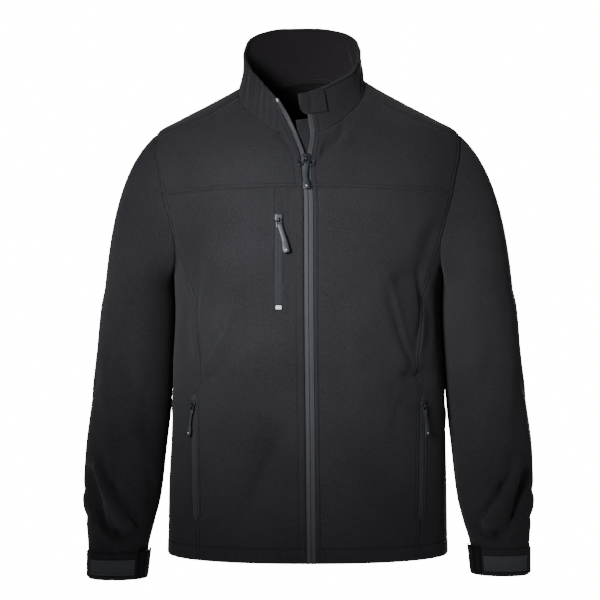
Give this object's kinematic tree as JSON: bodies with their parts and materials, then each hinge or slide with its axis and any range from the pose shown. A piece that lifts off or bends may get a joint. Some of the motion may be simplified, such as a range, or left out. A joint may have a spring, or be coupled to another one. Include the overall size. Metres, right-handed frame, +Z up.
{
  "type": "softshell jacket",
  "caption": "Filled-out softshell jacket with stand collar, full-length front zip, zipped chest and hand pockets and cuff straps; its zip pull tabs swing.",
  "frame": {"origin": "middle of the neck base at the height of the shoulder points, where the wearer carries the jacket", "axes": "+Z up, -Y out of the front, +X to the wearer's left arm"},
  "size_m": [0.6888, 0.2576, 0.8455],
  "materials": {
    "softshell": "bonded softshell cloth, fine heathered plain weave, matt",
    "collar_lining": "brushed fleece, very slightly plum",
    "zip_tape": "woven zip tape with a faint sheen",
    "slider": "black painted slider, half gloss",
    "pull": "moulded rubber tab, half gloss",
    "stop": "light grey end stop",
    "cuff_patch": "stitched box on the cuff strap",
    "cuff_loop": "dark end loop of the cuff strap"
  },
  "bodies": {
    "jacket": {"front_right": "softshell", "front_left": "softshell", "yoke_right": "softshell", "yoke_left": "softshell", "side_panel_right": "softshell", "side_panel_left": "softshell", "back": "softshell", "sleeve_right": "softshell", "sleeve_left": "softshell", "collar_outer": "softshell", "chin_guard": "softshell", "storm_flap": "softshell", "collar_lining": "collar_lining", "neck_tape": "zip_tape", "zip_right": "zip_tape", "zip_left": "zip_tape", "chest_zip": "zip_tape", "pocket_zip_right": "zip_tape", "pocket_zip_left": "zip_tape", "top_stop": "stop", "chest_stop": "stop", "main_slider": "slider", "chest_slider": "slider", "pocket_slider_right": "slider", "pocket_slider_left": "slider", "cuff_strap_right": "softshell", "cuff_strap_left": "softshell", "cuff_patch_right": "cuff_patch", "cuff_patch_left": "cuff_patch", "cuff_loop_right": "cuff_loop", "cuff_loop_left": "cuff_loop"},
    "main_pull": {"main_pull": "pull"},
    "chest_pull": {"chest_pull": "pull"},
    "pocket_pull_right": {"pocket_pull_right": "pull"},
    "pocket_pull_left": {"pocket_pull_left": "pull"}
  },
  "joints": [
    {"name": "main_pull_hinge", "type": "hinge", "parent": "jacket", "child": "main_pull", "pos_m": [-0.0026, -0.1059, -0.10701], "axis": [-1, 0.0031, -0.0009], "range_deg": [0, 160]},
    {"name": "chest_pull_hinge", "type": "hinge", "parent": "jacket", "child": "chest_pull", "pos_m": [-0.04335, -0.12476, -0.19822], "axis": [-0.9681, 0.0288, -0.2489], "range_deg": [0, 160]},
    {"name": "pocket_pull_right_hinge", "type": "hinge", "parent": "jacket", "child": "pocket_pull_right", "pos_m": [-0.1733, -0.0868, -0.47389], "axis": [-0.7748, 0.629, 0.064], "range_deg": [0, 160]},
    {"name": "pocket_pull_left_hinge", "type": "hinge", "parent": "jacket", "child": "pocket_pull_left", "pos_m": [0.1733, -0.0868, -0.47389], "axis": [-0.7748, -0.629, -0.064], "range_deg": [0, 160]}
  ]
}
